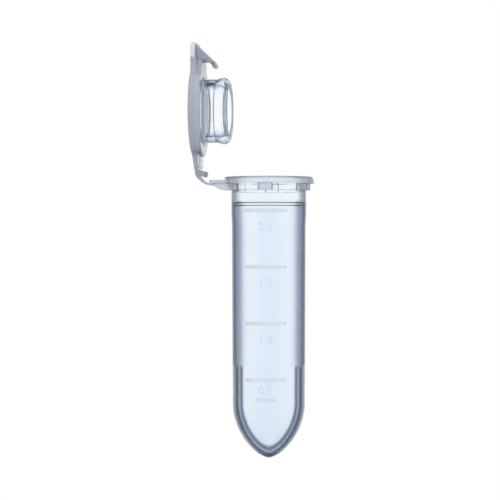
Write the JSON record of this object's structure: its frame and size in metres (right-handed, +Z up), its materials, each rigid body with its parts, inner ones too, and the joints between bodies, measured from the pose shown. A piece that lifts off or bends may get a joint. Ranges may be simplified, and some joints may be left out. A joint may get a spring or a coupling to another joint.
{
  "type": "microcentrifuge tube",
  "caption": "Round-bottomed clear plastic microcentrifuge tube with a ribbed rim and a hinged snap lid standing open, with a hollow sealing plug.",
  "frame": {"origin": "on the tube axis, in the plane of the underside of the support ribs, where the tube hangs in a rack", "axes": "+Z up along the tube axis out of the mouth, -X towards the hinge, +X towards the locking lip, graduation on -Y"},
  "size_m": [0.0176, 0.013, 0.0596],
  "materials": {
    "clear_plastic": "clear polished polypropylene",
    "satin_plastic": "translucent satin polypropylene",
    "frosted_plastic": "fine frosted polypropylene",
    "hinge_plastic": "thin worked polypropylene, satin"
  },
  "bodies": {
    "tube": {"tube_neck": "clear_plastic", "seat_ring": "clear_plastic", "tube_barrel": "clear_plastic", "tube_bottom": "clear_plastic", "rim_flange": "satin_plastic", "locking_lip": "satin_plastic", "support_ribs": "satin_plastic", "lip_rib": "satin_plastic", "hinge_leaf": "satin_plastic", "hinge_gusset": "clear_plastic", "graduation_lines": "frosted_plastic", "hinge_strap": "hinge_plastic"},
    "lid": {"lid_plate": "frosted_plastic", "lid_collar": "satin_plastic", "plug_sleeve": "clear_plastic", "seal_bead": "clear_plastic", "hinge_tongue": "frosted_plastic", "hinge_rails": "satin_plastic", "hinge_lugs": "satin_plastic", "thumb_tab": "clear_plastic", "latch_web": "satin_plastic", "latch_wall": "clear_plastic", "latch_cheeks": "clear_plastic", "latch_barb": "satin_plastic"}
  },
  "joints": [
    {"name": "lid_hinge", "type": "hinge", "parent": "tube", "child": "lid", "pos_m": [-0.00943, 0, 0.00203], "axis": [0, 1, 0], "range_deg": [-90, 90], "stiffness_Nm_per_rad": 0.001, "deforming": ["hinge_strap", "seal_bead"]}
  ]
}
